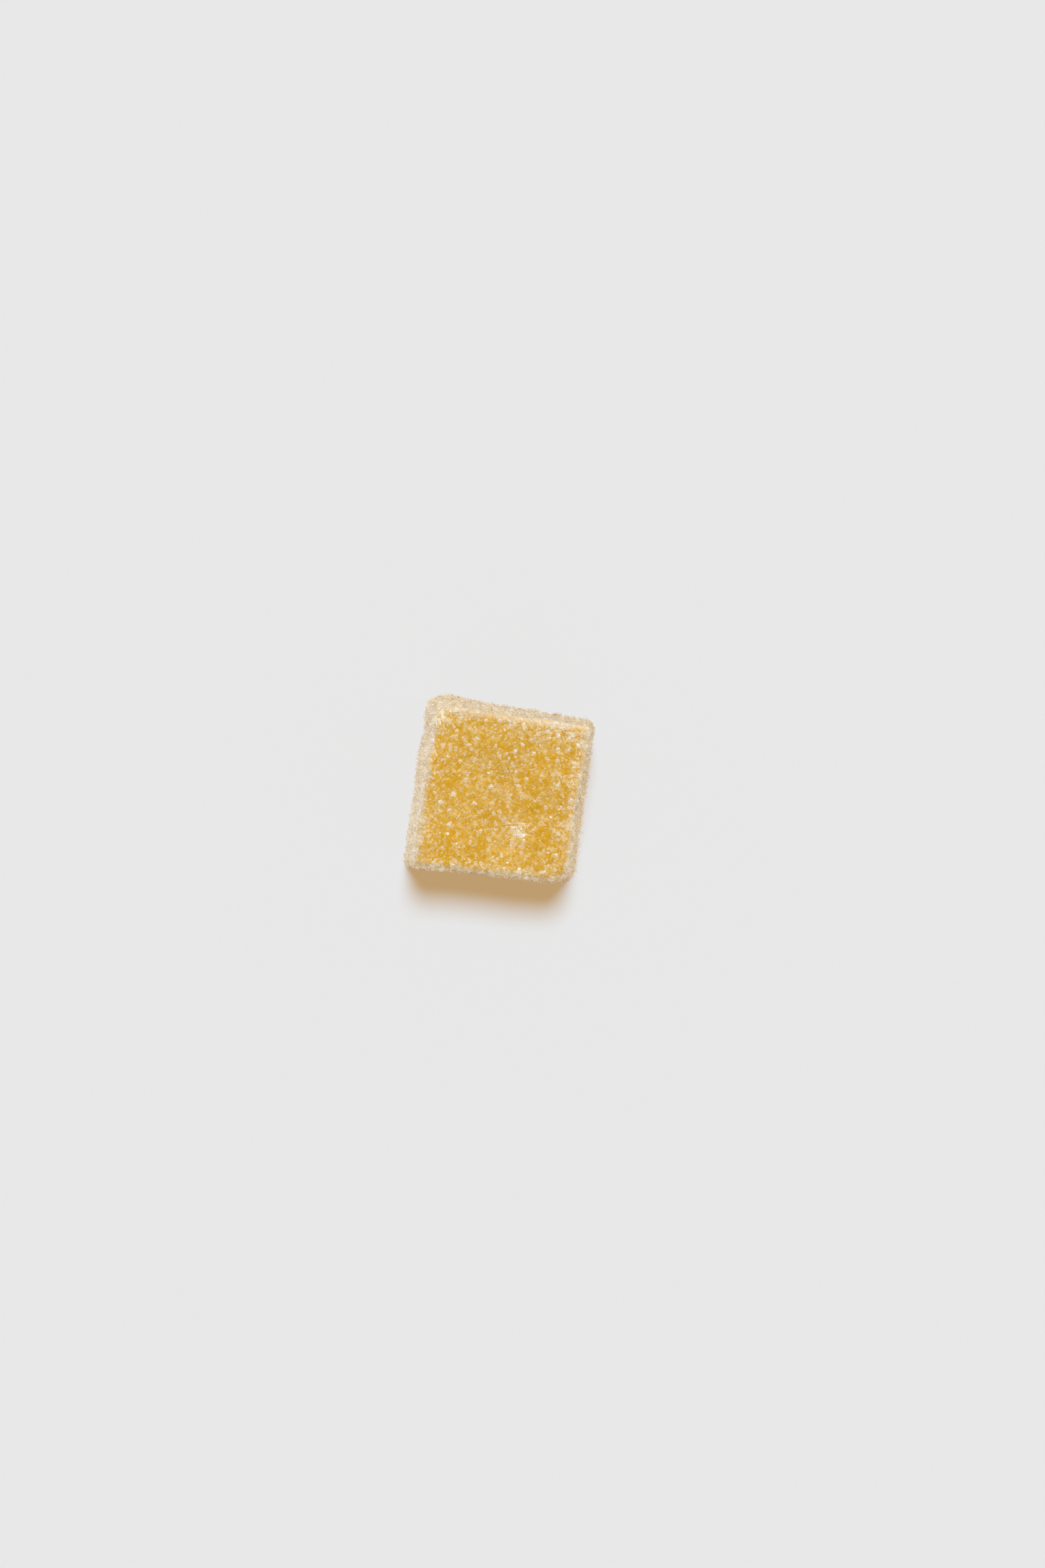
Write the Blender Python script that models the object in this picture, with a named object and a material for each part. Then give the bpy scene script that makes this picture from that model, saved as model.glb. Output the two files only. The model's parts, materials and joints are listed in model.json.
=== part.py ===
"""Sugar-coated gummy candy: one square block of amber jelly, rolled in granulated sugar.

The jelly was cast in a mould with sloping walls, so the upper face is smaller than the base that the
candy lies on. It is soft: its corners are pulled unevenly, its walls are drawn in a little, and its
upper face has sunk. The coarsest grains of the sugar coat are fused to it, and the finer sugar is
a low relief in its surface.

Metres, +Z up. X runs along the candy's width, Y along its depth, and the origin is at the middle of
the base.
"""

import math
import random

import bmesh
import bpy
from mathutils import Euler, Matrix, Vector, noise

MM = 0.001

# Driving dimensions of the jelly block. The face is its upper side
FACE_WIDTH = 20.6 * MM
FACE_DEPTH = 21.4 * MM
BASE_WIDTH = 23.3 * MM
BASE_DEPTH = 23.1 * MM
HEIGHT = 10.0 * MM
FACE_EDGE_RADIUS = 0.9 * MM
BASE_EDGE_RADIUS = 0.6 * MM
DISH_DEPTH = 0.45 * MM  # how far the middle of the face has sunk
WALL_DRAW = 0.30 * MM  # how far the middle of a wall is drawn in, half-way up
BASE_DRAW = 0.12 * MM  # the same, at the base and at the face
LUMP_HEIGHT = 0.22 * MM
LUMP_SIZE = 4.5 * MM

# How far each corner of the face and of the base is pulled along X and Y, keyed by the corner's side
# along X and Y
FACE_PULLS = {
    (-1, -1): (-0.05 * MM, -0.20 * MM),
    (1, -1): (-0.55 * MM, 0.15 * MM),
    (1, 1): (0.50 * MM, -0.10 * MM),
    (-1, 1): (0.10 * MM, 0.15 * MM),
}
BASE_PULLS = {
    (-1, -1): (-0.05 * MM, -0.15 * MM),
    (1, -1): (-0.10 * MM, 0.15 * MM),
    (1, 1): (0.10 * MM, -0.70 * MM),
    (-1, 1): (0.05 * MM, 0.70 * MM),
}
# Radius of each corner seen from above, as a share of half the width
CORNER_ROUND = {(-1, -1): 0.10, (1, -1): 0.24, (1, 1): 0.11, (-1, 1): 0.27}

# A dent in the wall at -X, beside its rounded corner at +Y
DENT_PLACE = 0.58  # along Y, as a share of half the depth
DENT_WIDTH = 0.16
DENT_DEPTH = 0.45 * MM

# The mesh of the jelly block: its steps crowd towards the edges by CROWDING, from 0 to 1
STEPS_ACROSS = 18
STEPS_UP = 8
CROWDING = 0.48

# The sugar coat
GRAIN_COUNT = 380
GRAIN_LENGTH = (0.70 * MM, 1.00 * MM)  # of the coarsest grains, shortest to longest
GRAIN_SHAPE = (1.0, 0.82, 0.66)  # a grain's sides, as shares of its length
GRAIN_SUNK = 0.22  # how deep a grain's middle lies in the jelly, as a share of its length
GRAIN_GAP = 1.3 * MM  # the least distance between two grains' middles
GRAIN_CLEAR = 1.0 * MM  # no grain's middle is lower than this, so that the base stays flat
GRAIN_REACH = 0.97  # how near a side's edges grains lie, as a share of its half width
RELIEF_HEIGHT = 0.09 * MM
RELIEF_SIZE = 1.3 * MM
SEED = 11
SIDE_AREAS = {
    "face": FACE_WIDTH * FACE_DEPTH,
    "left": BASE_DEPTH * HEIGHT,
    "right": BASE_DEPTH * HEIGHT,
    "front": BASE_WIDTH * HEIGHT,
    "back": BASE_WIDTH * HEIGHT,
}
SLOPE_STEP = 0.02  # for finding which way the surface faces, as a share of a side's half width

JELLY_COLOUR = (0.74, 0.47, 0.13, 1.0)
JELLY_ROUGHNESS = 0.55


def clear_scene():
    """Removes what the startup scene holds."""
    for held in list(bpy.data.objects):
        bpy.data.objects.remove(held)


def new_collection(name):
    """An empty collection of that name in the scene."""
    collection = bpy.data.collections.new(name)
    bpy.context.scene.collection.children.link(collection)
    return collection


def sugared_jelly():
    """The candy's material, in the colour of amber jelly under a thin coat of sugar."""
    material = bpy.data.materials.new("sugared_jelly")
    material.use_nodes = True
    shader = material.node_tree.nodes["Principled BSDF"]
    shader.inputs["Base Color"].default_value = JELLY_COLOUR
    shader.inputs["Roughness"].default_value = JELLY_ROUGHNESS
    shader.inputs["Metallic"].default_value = 0.0
    return material


def crowded(share):
    """A step's place from -1 to 1 along a side, moved towards the nearer end."""
    return share + CROWDING * math.sin(math.pi * share) / math.pi


def rounded_plan(across, along):
    """A point of the square from -1 to 1, moved to where it lies once the square's corners are rounded."""
    size = max(abs(across), abs(along))
    if size == 0:
        return across, along
    sides = (math.copysign(1, across), math.copysign(1, along))
    straight = 1 - CORNER_ROUND[sides]
    past = [max(0.0, abs(c) / size - straight) for c in (across, along)]
    if min(past) == 0:
        return across, along
    shrink = max(past) / math.hypot(*past)
    return tuple(side * size * (straight + p * shrink) for side, p in zip(sides, past))


def rounded_section(out, rise):
    """A point of the upright section, moved to where it lies once the section's corners are rounded.

    out is the distance from the middle axis and rise the height above mid-height.
    """
    half = (FACE_WIDTH / 2, HEIGHT / 2)
    radius = FACE_EDGE_RADIUS if rise > 0 else BASE_EDGE_RADIUS
    core = Vector(math.copysign(min(h - radius, abs(p)), p) for p, h in zip((out, rise), half))
    past = Vector((out, rise)) - core
    if past.length == 0:
        return out, rise
    return tuple(core + past * (max(abs(c) for c in past) / past.length))


def corner_pull(pulls, across, along):
    """How far a point of the square from -1 to 1 follows the four corners' pulls."""
    moved = Vector((0.0, 0.0))
    for (side_x, side_y), pull in pulls.items():
        moved += Vector(pull) * ((1 + side_x * across) * (1 + side_y * along) / 4)
    return moved


def jelly_point(across, along, up):
    """Where a point of the cube from -1 to 1 lies on the jelly block's surface."""
    size = max(abs(across), abs(along))
    out, rise = rounded_section(size * FACE_WIDTH / 2, up * HEIGHT / 2)
    kept = out / (size * FACE_WIDTH / 2) if size > 0 else 1.0
    across, along = rounded_plan(across * kept, along * kept)
    height = max(0.0, rise / HEIGHT + 0.5)
    face = Vector((across * FACE_WIDTH / 2, along * FACE_DEPTH / 2))
    face += corner_pull(FACE_PULLS, across, along)
    base = Vector((across * BASE_WIDTH / 2, along * BASE_DEPTH / 2))
    base += corner_pull(BASE_PULLS, across, along)
    place = base.lerp(face, height)
    drawn = BASE_DRAW + (WALL_DRAW - BASE_DRAW) * math.sin(math.pi * height)
    place.x -= drawn * across**3 * (1 - along**2)
    place.y -= drawn * along**3 * (1 - across**2)
    if across < 0:
        place.x += DENT_DEPTH * across**4 * math.exp(-(((along - DENT_PLACE) / DENT_WIDTH) ** 2))
    sunk = DISH_DEPTH * (1 - across**2) * (1 - along**2) * height**4
    return Vector((place.x, place.y, height * HEIGHT - sunk))


def side_point(side, u, v):
    """A point of one side of the cube from -1 to 1."""
    return {
        "face": (u, v, 1.0),
        "left": (-1.0, -u, v),
        "right": (1.0, u, v),
        "front": (u, -1.0, v),
        "back": (-u, 1.0, v),
    }[side]


def surface(side, u, v):
    """The jelly's point and outward normal at u and v on one side."""
    steps = [(u - SLOPE_STEP, v), (u + SLOPE_STEP, v), (u, v - SLOPE_STEP), (u, v + SLOPE_STEP)]
    left, right, below, above = (jelly_point(*side_point(side, *step)) for step in steps)
    normal = (right - left).cross(above - below).normalized()
    point = jelly_point(*side_point(side, u, v))
    return point + normal * swelling(point, LUMP_HEIGHT, LUMP_SIZE), normal


def swelling(point, height, size):
    """How far the surface swells out at a point. The base stays flat: swellings fade out towards it."""
    return height * noise.noise(point / size) * min(1.0, point.z / BASE_EDGE_RADIUS)


def divided_cube():
    """A cube from -1 to 1 whose faces are cut into a grid."""
    cube = bmesh.new()
    bmesh.ops.create_cube(cube, size=2.0)
    for axis, steps in ((0, STEPS_ACROSS), (1, STEPS_ACROSS), (2, STEPS_UP)):
        runs = [e for e in cube.edges if e.verts[0].co[axis] != e.verts[1].co[axis]]
        bmesh.ops.subdivide_edges(cube, edges=runs, cuts=steps - 1, use_grid_fill=True)
    return cube


def jelly_block(collection, material):
    """The jelly with the fine sugar's relief, as one closed mesh."""
    block = divided_cube()
    for vertex in block.verts:
        vertex.co = jelly_point(*(crowded(c) for c in vertex.co))
    block.normal_update()
    swellings = [
        swelling(vertex.co, LUMP_HEIGHT, LUMP_SIZE) + swelling(vertex.co, RELIEF_HEIGHT, RELIEF_SIZE)
        for vertex in block.verts
    ]
    for vertex, swell in zip(block.verts, swellings):
        vertex.co += vertex.normal * swell
        vertex.co.z = max(vertex.co.z, 0.0)
    bmesh.ops.triangulate(block, faces=block.faces)
    mesh = bpy.data.meshes.new("gummy")
    block.to_mesh(mesh)
    block.free()
    mesh.materials.append(material)
    candy = bpy.data.objects.new("gummy", mesh)
    collection.objects.link(candy)
    return candy


def grain_places(draw):
    """Points at random over the block, no two nearer than GRAIN_GAP, each with its surface normal."""
    sides = list(SIDE_AREAS)
    found = []
    while len(found) < GRAIN_COUNT:
        side = draw.choices(sides, SIDE_AREAS.values())[0]
        u = draw.uniform(-GRAIN_REACH, GRAIN_REACH)
        v = draw.uniform(-GRAIN_REACH, GRAIN_REACH)
        point, normal = surface(side, u, v)
        near = any((point - other).length < GRAIN_GAP for other, _ in found)
        if point.z > GRAIN_CLEAR and not near:
            found.append((point, normal))
    return found


def sugar_grain(name, point, normal, draw, collection):
    """One coarse grain of sugar: a small block at a random angle, part of it sunk in the jelly."""
    length = draw.uniform(*GRAIN_LENGTH)
    turned = Euler([draw.uniform(-math.pi, math.pi) for _ in range(3)]).to_matrix()
    shape = Matrix.Diagonal([length * share / 2 for share in GRAIN_SHAPE])
    bpy.ops.mesh.primitive_cube_add(size=2.0)
    grain = bpy.context.object
    grain.name = name
    grain.data.transform((turned @ shape).to_4x4())
    grain.location = point - normal * (length * GRAIN_SUNK)
    for held in list(grain.users_collection):
        held.objects.unlink(grain)
    collection.objects.link(grain)


def fuse_grains(candy, collection):
    """Joins the grains to the jelly by one Boolean union, applies it, and removes the grains."""
    union = candy.modifiers.new("fused_grains", "BOOLEAN")
    union.operation = "UNION"
    union.operand_type = "COLLECTION"
    union.collection = collection
    bpy.context.view_layer.update()
    graph = bpy.context.evaluated_depsgraph_get()
    fused = bpy.data.meshes.new_from_object(candy.evaluated_get(graph))
    candy.modifiers.clear()
    candy.data = fused
    for grain in list(collection.objects):
        bpy.data.objects.remove(grain)
    bpy.data.collections.remove(collection)


def drop_slivers(mesh):
    """Merges points that the union left almost on each other, and cuts every face into triangles."""
    shell = bmesh.new()
    shell.from_mesh(mesh)
    bmesh.ops.remove_doubles(shell, verts=shell.verts, dist=0.01 * MM)
    bmesh.ops.triangulate(shell, faces=shell.faces)
    shell.to_mesh(mesh)
    shell.free()


def main():
    clear_scene()
    candies = new_collection("gummy_candy")
    grains = new_collection("sugar_grains")
    candy = jelly_block(candies, sugared_jelly())
    draw = random.Random(SEED)
    for index, (point, normal) in enumerate(grain_places(draw)):
        sugar_grain(f"grain_{index}", point, normal, draw, grains)
    fuse_grains(candy, grains)
    drop_slivers(candy.data)


main()
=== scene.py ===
"""Sugar-coated gummy candy: the jelly, the loose grains of its sugar coat, and a plain table to lie on."""

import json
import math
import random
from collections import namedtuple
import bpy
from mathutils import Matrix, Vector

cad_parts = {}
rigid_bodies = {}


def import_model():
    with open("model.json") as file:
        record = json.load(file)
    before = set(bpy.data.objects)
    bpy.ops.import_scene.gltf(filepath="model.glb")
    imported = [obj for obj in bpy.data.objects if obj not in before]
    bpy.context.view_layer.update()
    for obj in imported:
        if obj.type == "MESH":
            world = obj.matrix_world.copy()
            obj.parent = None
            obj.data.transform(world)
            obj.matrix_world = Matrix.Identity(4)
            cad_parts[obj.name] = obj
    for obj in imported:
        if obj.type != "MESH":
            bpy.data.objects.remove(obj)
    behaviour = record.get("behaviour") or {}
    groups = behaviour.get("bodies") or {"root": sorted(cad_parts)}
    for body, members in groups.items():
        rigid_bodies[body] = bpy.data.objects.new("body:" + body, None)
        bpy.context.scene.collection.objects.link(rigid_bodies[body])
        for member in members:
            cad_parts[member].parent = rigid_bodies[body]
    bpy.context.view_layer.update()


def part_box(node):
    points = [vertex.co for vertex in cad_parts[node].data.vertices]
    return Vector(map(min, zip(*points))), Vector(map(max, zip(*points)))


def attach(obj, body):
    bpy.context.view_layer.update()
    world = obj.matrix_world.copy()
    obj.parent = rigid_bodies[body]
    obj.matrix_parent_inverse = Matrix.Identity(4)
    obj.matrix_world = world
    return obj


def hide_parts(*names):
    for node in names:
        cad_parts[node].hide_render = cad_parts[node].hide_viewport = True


bl_info = {
    "name": "Sugar-coated gummy candy",
    "version": (1, 0, 0),
    "blender": (4, 5, 0),
    "location": "3D View > Sidebar > Gummy",
    "description": "Models a square fruit jelly coated in granulated sugar",
    "category": "Add Mesh",
}

import bmesh
import bpy
from bpy.props import FloatProperty, FloatVectorProperty, IntProperty, PointerProperty
from mathutils import Matrix, Vector, noise

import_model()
NODE_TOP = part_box("gummy")[1].z

MM = 0.001

# How far each corner of the face and of the base is pulled along X and Y, keyed by the corner's side
# along X and Y
FACE_PULLS = {
    (-1, -1): (-0.05 * MM, -0.20 * MM),
    (1, -1): (-0.55 * MM, 0.15 * MM),
    (1, 1): (0.50 * MM, -0.10 * MM),
    (-1, 1): (0.10 * MM, 0.15 * MM),
}
BASE_PULLS = {
    (-1, -1): (-0.05 * MM, -0.15 * MM),
    (1, -1): (-0.10 * MM, 0.15 * MM),
    (1, 1): (0.10 * MM, -0.70 * MM),
    (-1, 1): (0.05 * MM, 0.70 * MM),
}
# Radius of each corner seen from above, as a share of half the width
CORNER_ROUND = {(-1, -1): 0.10, (1, -1): 0.24, (1, 1): 0.11, (-1, 1): 0.27}
# How far the jelly's rows of faces crowd towards its edges
CROWDING = 0.3

# Waves of noise, each a height and a length: those of the surface, and those by which the sugar varies
LUMPS = (0.22 * MM, 4.5 * MM)
RELIEF = (LUMPS, (0.10 * MM, 0.9 * MM), (0.025 * MM, 0.25 * MM))
FACE_WAVES = ((0.35, 2.2 * MM), (0.50, 0.6 * MM))
FACE_FROST_WAVES = ((1.0, 0.5 * MM),)
WALL_WAVES = ((0.5, 1.2 * MM),)
WALL_FROST_WAVES = ((1.2, 1.4 * MM), (0.8, 0.5 * MM))
CREST_WAVES = ((0.07, 1.3 * MM), (0.05, 0.5 * MM))

# Where the sugar on the face is thin and the jelly shows: middle in X and Y, and radius, in millimetres
THIN_SPOTS = (
    (-1.9, 6.4, 1.8),
    (-5.3, 0.6, 1.7),
    (3.0, 2.3, 1.9),
    (5.2, 5.3, 1.3),
    (4.0, -1.2, 1.5),
    (-3.8, -4.4, 1.6),
    (-6.3, -6.2, 1.5),
    (-2.0, -7.2, 1.8),
    (6.8, -4.6, 1.4),
)
# Where the sugar lies so thick that it looks white: middle and radius in the same way, and how white
FROST_SPOTS = (
    (3.03, -4.75, 0.60, 1.6),
    (2.0, -4.1, 1.0, 0.5),
    (-9.3, 9.6, 2.2, 0.7),
    (8.2, 9.0, 2.5, 0.3),
    (1.5, 10.0, 1.5, 0.4),
    (5.6, 9.9, 1.4, 0.4),
    (9.4, 3.0, 1.2, 0.4),
    (9.2, -3.0, 1.2, 0.5),
)

# How thickly sugar lies on a wall, how white it is, and how bright the skin under it is, keyed by the way
# that the wall faces along X and Y. The skin's brightness is painted shade, darker on the walls that get
# more light. Thickness and whiteness are partly the coat's own and partly painted light: thinner, yellower
# sugar on the lamp-lit top wall and on the right wall, for warm bounced light, and whiter sugar on the left.
Coat = namedtuple("Coat", "thickness whiteness brightness")
SIDE_COATS_AND_SHADE = {
    (-1, 0): Coat(1.0, 0.18, 0.84),
    (0, 1): Coat(0.75, 0.04, 0.80),
    (1, 0): Coat(0.50, 0.0, 1.0),
    (0, -1): Coat(0.80, 0.10, 1.0),
}
# How sharply one wall's coat gives way to the next's at a corner, and the least sum that shares are taken of
CORNER_SHARPNESS = 6
TINY = 1e-12

# A surface is level where its normal's Z is further from 0 than this
LEVEL = 0.5
# How densely sugar lies on the face before all else, how much thinner in a thin spot, how much denser at the
# rim and towards the back, how densely at the least, and how densely on the underside
FACE_COVER = 0.85
SPOT_THINNING = 0.30
RIM_COVER = 0.6
BACK_COVER = 0.12
LEAST_COVER = 0.35
BASE_COVER = 0.5
# How white the face's rim is, and the share of the face's whiteness that shows
RIM_FROST = 0.12
FACE_FROST = 0.5
# How far out on the face the denser rim, the white rim and the walls' sugar start, as shares of the way to
# its edge, and over what share of that way the walls' sugar thickens
RIM_START = 0.84
FROST_START = 0.86
CREST_START = 0.88
CREST_WIDTH = 0.11
# A point belongs to the walls by the first of these, less the second times its normal's Z
WALL_START = 1.40
WALL_LOSS = 1.35
# Painted shade: how much darker the skin is painted where it faces upwards, towards the light
PAINTED_CREST_SHADE = 0.25

# Patterns of noise in the jelly: how often each repeats in a metre, and how many finer layers it has
Pattern = namedtuple("Pattern", "scale detail")
COLOUR_DRIFT = Pattern(160.0, 3.0)
COLOUR_MOTTLE = Pattern(4600.0, 2.0)
VEIL_DRIFT = Pattern(900.0, 3.0)
CREAM_PATCHES = Pattern(1500.0, 4.0)
SKIN_SPECKLE = Pattern(2800.0, 3.0)
SURFACE_GRAIN = Pattern(2600.0, 2.0)
# How often the veil's crystals repeat in a metre
VEIL_CRYSTALS = 3000.0

# Bands of a value over which amber gives way to honey, syrup to cream and jelly to skin, and over which the
# veil sets in, by its crystals' outlines, its drift and the thickness of the coat
HONEY_BAND = (0.30, 0.70)
CREAM_BAND = (0.40, 0.90)
SKIN_BAND = (0.70, 1.35)
OUTLINE_BAND = (0.20, 0.75)
DRIFT_BAND = (0.30, 0.75)
COAT_BAND = (0.35, 0.90)
# The mottle's share in the jelly's colour, how far frost turns the skin to cream, how far the skin hides the
# jelly at the most, and how far the veil does at the least and at the most
MOTTLE_SHARE = 0.65
FROST_STRENGTH = 1.4
SKIN_MOST = 0.92
VEIL_LEAST = 0.10
VEIL_MOST = 0.60
# The relief too fine for the mesh: how strongly it shows, and its height
GRAIN_STRENGTH = 0.35
GRAIN_HEIGHT = 0.06 * MM

JELLY_SHADER = {
    "Roughness": 0.42,
    "IOR": 1.42,
    "Specular IOR Level": 0.25,
    "Subsurface Weight": 0.45,
    "Subsurface Radius": (1.0, 0.70, 0.40),
    "Subsurface Scale": 1.6 * MM,
}
TABLE_SHADER = {"Roughness": 0.8, "Specular IOR Level": 0.2}
SUGAR_IOR = 1.54
BLACK = (0.0, 0.0, 0.0)
WHITE = (1.0, 1.0, 1.0)

# A kind of sugar's look: its colours, how much its facets cover at least and at most, how much their edges
# cover, how narrow those edges are, and its roughness and gloss. The edges' cover is partly painted
# highlight, for light that a clear grain refracts and reflects at its edges.
Look = namedtuple("Look", "warm white clearest cloudiest rim thinness roughness gloss")
CLEAR = Look((0.88, 0.68, 0.35), (0.92, 0.83, 0.68), 0.00, 0.29, 0.76, 3.5, 0.20, 0.30)
HAZY = Look((0.87, 0.63, 0.27), (0.90, 0.78, 0.53), 0.00, 0.08, 0.11, 1.5, 0.25, 0.30)
BRIGHT = Look((0.88, 0.73, 0.49), (0.92, 0.85, 0.77), 0.02, 0.52, 0.90, 3.0, 0.15, 0.35)
CLOUDY = Look((0.81, 0.64, 0.40), (0.87, 0.76, 0.62), 0.03, 0.24, 0.45, 3.0, 0.30, 0.20)
FROSTY = Look((0.80, 0.63, 0.39), (0.86, 0.75, 0.60), 0.03, 0.15, 0.20, 1.0, 0.40, 0.20)

# A kind of grain: the attribute that says how thickly it lies, its look, how many corners are cut off it
# (None makes chips), whether its facets have a middle, how deep it is sunk as a share of its length, how far
# it tumbles as an angle, and how far its facets are lit like the surface under it, as light soaks through it
Grain = namedtuple("Grain", "coat look cuts domed sunk tumble soaking")
GRAINS = {
    "face_sugar": Grain("face_coat", CLEAR, 2, True, 0.15, 1.2, 0.5),
    "wall_sugar": Grain("wall_coat", CLOUDY, 0, True, 0.0, 1.3, 0.0),
    "face_dust": Grain("face_coat", HAZY, None, False, 0.0, 1.5, 0.5),
    "wall_dust": Grain("wall_coat", FROSTY, 0, False, -0.05, 1.5, 0.0),
}
COARSE_CUTS = 6
COARSE_SOAKING = 0.25
# What each kind of grain adds to the seed
SEED_STEPS = {name: step for step, name in enumerate(("coarse_sugar", *GRAINS), 1)}

# How many shapes of crystal a kind of grain has, and their depth and height as shares of their length
CRYSTAL_SHAPES = 16
CRYSTAL_DEPTH = (0.55, 0.92)
CRYSTAL_HEIGHT = (0.42, 0.75)
# How far a crystal slants along X and Y, how far the plane of a cut tilts, and where that plane lies on the
# way out to the corner
CRYSTAL_SLANT = (0.25, 0.15)
CUT_TILT = 0.25
CUT_PLACE = (0.72, 0.92)
# How far a facet's middle rises and a chip's corners stray, as shares of its length
DOME_RISE = 0.04
CHIP_STRAY = 0.12
# The attribute rim: at a domed crystal's corners about the first of these, give or take the second, at a
# plain crystal's the third, and one of each list in the middle of a facet and at a chip's corners. Where rim
# is high the sugar covers more: partly frostier sugar, partly painted highlight, brighter towards one side.
RIM_MIDDLE = 0.70
RIM_SWING = 0.30
PLAIN_RIM = 0.5
FACET_RIMS = (0.0, 0.0, 0.1, 0.2, 0.35, 0.85)
CHIP_RIMS = (0.0, 0.0, 0.4, 1.0)

# Powers that make long grains and pale grains rarer than the others
LENGTH_SKEW = 1.8
SHADE_SKEW = 2.4
# The seeds of what a node tree draws, and the highest number by which it chooses a crystal, round and round
LENGTH_SEED, SPIN_SEED, CHOICE_SEED, SHADE_SEED = 1, 2, 5, 6
HIGHEST_CHOICE = 99
# A node tree's inputs, with the kind of each, and those of the tree that sows
GRAIN_INPUTS = {"Surface": "Geometry", "Soaking": "Float", "Crystals": "Collection", "Material": "Material"}
SOWN_FLOATS = ("Density", "Spacing", "Shortest", "Longest", "Sunk", "Tumble")
SOWN_INPUTS = {**dict.fromkeys(SOWN_FLOATS, "Float"), "Coat": "String", "Seed": "Int"}
# The sockets of a Random Value node that hold the least, the most and the result
RANDOM_SOCKETS = {"FLOAT_VECTOR": (0, 1, 0), "FLOAT": (2, 3, 1), "INT": (4, 5, 2)}
# No point of a grain lies further out or lower than this: only the height matters
LOWEST = (-1.0, -1.0, 0.0)

# The table's width, and how far it lies below the candy
TABLE_WIDTH = 6.0
TABLE_DROP = 0.02 * MM
# The lamp stands behind the candy and a little to its right
LAMP_PLACE = (0.04, 0.56, 0.95)
# The light from the sides fades out at this share of the way up
SIDE_LIGHT_TOP = 0.5
# The camera sees nothing nearer than this
NEAREST_SEEN = 10 * MM


def length_setting(name, description, default):
    """A length that a user may change."""
    return FloatProperty(name=name, description=description, default=default, unit="LENGTH")


def angle_setting(name, description, degrees):
    """An angle that a user may change."""
    return FloatProperty(name=name, description=description, default=math.radians(degrees), subtype="ANGLE")


def share_setting(name, description, default):
    """A share that a user may change."""
    return FloatProperty(name=name, description=description, default=default, subtype="FACTOR")


def colour_setting(name, description, default):
    """A colour that a user may change."""
    return FloatVectorProperty(name=name, description=description, default=default, subtype="COLOR", size=3)


class JellySizes(bpy.types.PropertyGroup):
    """Sizes and colours of the jelly block."""

    face_width: length_setting("Face width", "Width of the upper face", 20.6 * MM)
    face_depth: length_setting("Face depth", "Depth of the upper face", 21.4 * MM)
    base_width: length_setting("Base width", "Width of the underside", 23.3 * MM)
    base_depth: length_setting("Base depth", "Depth of the underside", 23.1 * MM)
    height: length_setting("Height", "Thickness of the jelly", 10.0 * MM)
    face_edge: length_setting("Face edge", "Radius of the upper edges", 0.9 * MM)
    base_edge: length_setting("Base edge", "Radius of the lower edges", 0.6 * MM)
    dish: length_setting("Dish", "How far the middle of the face has sunk", 0.45 * MM)
    wall_draw: length_setting("Wall draw", "How far the middle of a wall is drawn in, half-way up", 0.30 * MM)
    base_draw: length_setting("Base draw", "How far a side's middle is drawn in at base and face", 0.12 * MM)
    dent_depth: length_setting("Dent depth", "Depth of the dent in the left wall", 0.45 * MM)
    dent_place: share_setting("Dent place", "Where the dent lies along half of the left wall", 0.58)
    dent_width: share_setting("Dent width", "How much of half the wall the dent takes up", 0.16)
    skin: length_setting("Skin", "How far the jelly lies inside the sugar coat's middle", 0.10 * MM)
    steps: IntProperty(name="Steps", description="Rows of faces along a side of the face", default=90)
    steps_up: IntProperty(name="Steps up", description="Rows of faces up a wall", default=40)
    amber: colour_setting("Amber", "Colour of the jelly", (0.64, 0.315, 0.001))
    honey: colour_setting("Honey", "Colour of the jelly where it is paler", (0.81, 0.460, 0.010))
    glow: colour_setting("Glow", "Light that gets through each surface of the jelly", (0.74, 0.525, 0.02))
    veil: colour_setting("Veil", "Colour that the finest sugar gives the jelly", (0.83, 0.58, 0.18))
    syrup: colour_setting("Syrup", "Colour of the skin under thin sugar", (0.90, 0.61, 0.25))
    cream: colour_setting("Cream", "Colour of the skin under thick sugar", (0.94, 0.79, 0.58))


DENSITY = "Most grains of this kind on a square metre"
GAP = "Least distance between the middles of two of these grains"
SHORTEST = "Least length of these grains"
LONGEST = "Greatest length of these grains"


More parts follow.
